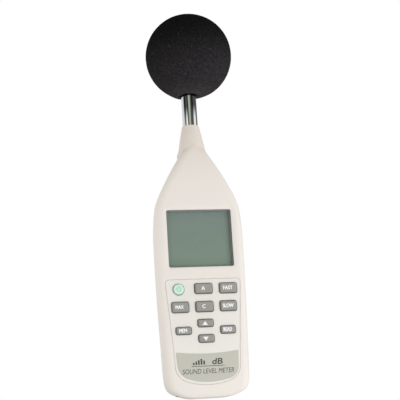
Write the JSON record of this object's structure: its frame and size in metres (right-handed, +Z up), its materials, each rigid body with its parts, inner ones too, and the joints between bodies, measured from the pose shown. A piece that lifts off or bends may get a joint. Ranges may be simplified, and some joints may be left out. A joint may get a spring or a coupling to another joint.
{
  "type": "sound level meter",
  "caption": "Hand-held sound level meter with a tapered case, display, keypad, chromed microphone stem and round foam windscreen.",
  "frame": {"origin": "middle of the bottom end of the case, on the microphone axis", "axes": "+Z up the microphone axis, -Y out of the keypad face, +X to the right seen from the front"},
  "size_m": [0.0702, 0.07, 0.3089],
  "materials": {
    "case_plastic": "warm white moulded ABS, fine satin texture",
    "fascia_plastic": "warm white satin overlay",
    "label_film": "grey beige printed polyester film",
    "key_plastic": "warm grey moulded keycap, satin",
    "power_key_plastic": "mint green keycap",
    "window_acrylic": "clear acrylic",
    "lcd_glass": "grey green reflective LCD",
    "silicone": "grey silicone rubber",
    "black_rubber": "black rubber",
    "white_plastic": "white moulded plastic",
    "circuit_board": "green solder mask",
    "black_plastic": "black moulded plastic",
    "chrome": "bright chromed tube",
    "brass": "turned brass",
    "cell_jacket": "printed steel cell jacket",
    "spring_steel": "nickel plated steel",
    "foil_label": "matt silver foil",
    "windscreen_foam": "open cell polyurethane foam, near black"
  },
  "bodies": {
    "meter_body": {"front_case": "case_plastic", "rear_case": "case_plastic", "keypad_fascia": "fascia_plastic", "name_label": "label_film", "keypad_mat": "silicone", "lcd_window": "window_acrylic", "lcd_gasket": "black_rubber", "lcd_glass": "lcd_glass", "lcd_frame": "white_plastic", "backlight_guide": "white_plastic", "zebra_strip_upper": "black_rubber", "zebra_strip_lower": "black_rubber", "main_pcb": "circuit_board", "processor_chip": "black_plastic", "amplifier_chip": "black_plastic", "output_jack": "black_plastic", "dc_jack": "black_plastic", "cal_trimmer_body": "white_plastic", "signal_cable": "black_plastic", "tripod_insert": "brass", "rating_label": "foil_label", "stem_tube": "chrome", "stem_nut": "brass", "stem_seal": "black_rubber", "preamp_pcb": "circuit_board", "mic_body": "chrome", "mic_insulator": "white_plastic", "mic_backplate": "brass", "mic_diaphragm": "spring_steel", "mic_grid": "chrome", "battery_cell_1": "cell_jacket", "contact_spring_1": "spring_steel", "battery_cell_2": "cell_jacket", "contact_spring_2": "spring_steel", "battery_cell_3": "cell_jacket", "contact_spring_3": "spring_steel", "battery_cell_4": "cell_jacket", "contact_spring_4": "spring_steel", "contact_upper_left": "spring_steel", "contact_upper_right": "spring_steel", "contact_lower_middle": "spring_steel", "contact_lower_minus": "spring_steel", "contact_lower_plus": "spring_steel", "case_screw_1": "spring_steel", "case_screw_2": "spring_steel", "case_screw_3": "spring_steel", "case_screw_4": "spring_steel"},
    "windscreen": {"windscreen": "windscreen_foam"},
    "battery_cover": {"battery_cover": "case_plastic"},
    "cal_trimmer_screw": {"cal_trimmer_screw": "brass"},
    "key_power": {"key_power": "power_key_plastic"},
    "key_weighting_a": {"key_weighting_a": "key_plastic"},
    "key_fast": {"key_fast": "key_plastic"},
    "key_max": {"key_max": "key_plastic"},
    "key_weighting_c": {"key_weighting_c": "key_plastic"},
    "key_slow": {"key_slow": "key_plastic"},
    "key_up": {"key_up": "key_plastic"},
    "key_memory": {"key_memory": "key_plastic"},
    "key_read": {"key_read": "key_plastic"},
    "key_down": {"key_down": "key_plastic"}
  },
  "joints": [
    {"name": "windscreen_pull_off", "type": "slide", "parent": "meter_body", "child": "windscreen", "axis": [0, 0, 1], "range_m": [0, 0.035]},
    {"name": "battery_cover_slide", "type": "slide", "parent": "meter_body", "child": "battery_cover", "axis": [0, 0, -1], "range_m": [0, 0.063]},
    {"name": "cal_trimmer_turn", "type": "hinge", "parent": "meter_body", "child": "cal_trimmer_screw", "pos_m": [0.0304, 0.0046, 0.106], "axis": [1, 0, 0], "range_deg": [-130, 130]},
    {"name": "key_power_press", "type": "slide", "parent": "meter_body", "child": "key_power", "axis": [0, 1, 0], "range_m": [0, 0.001], "stiffness_N_per_m": 60},
    {"name": "key_weighting_a_press", "type": "slide", "parent": "meter_body", "child": "key_weighting_a", "axis": [0, 1, 0], "range_m": [0, 0.001], "stiffness_N_per_m": 60},
    {"name": "key_fast_press", "type": "slide", "parent": "meter_body", "child": "key_fast", "axis": [0, 1, 0], "range_m": [0, 0.001], "stiffness_N_per_m": 60},
    {"name": "key_max_press", "type": "slide", "parent": "meter_body", "child": "key_max", "axis": [0, 1, 0], "range_m": [0, 0.001], "stiffness_N_per_m": 60},
    {"name": "key_weighting_c_press", "type": "slide", "parent": "meter_body", "child": "key_weighting_c", "axis": [0, 1, 0], "range_m": [0, 0.001], "stiffness_N_per_m": 60},
    {"name": "key_slow_press", "type": "slide", "parent": "meter_body", "child": "key_slow", "axis": [0, 1, 0], "range_m": [0, 0.001], "stiffness_N_per_m": 60},
    {"name": "key_up_press", "type": "slide", "parent": "meter_body", "child": "key_up", "axis": [0, 1, 0], "range_m": [0, 0.001], "stiffness_N_per_m": 60},
    {"name": "key_memory_press", "type": "slide", "parent": "meter_body", "child": "key_memory", "axis": [0, 1, 0], "range_m": [0, 0.001], "stiffness_N_per_m": 60},
    {"name": "key_read_press", "type": "slide", "parent": "meter_body", "child": "key_read", "axis": [0, 1, 0], "range_m": [0, 0.001], "stiffness_N_per_m": 60},
    {"name": "key_down_press", "type": "slide", "parent": "meter_body", "child": "key_down", "axis": [0, 1, 0], "range_m": [0, 0.001], "stiffness_N_per_m": 60}
  ]
}
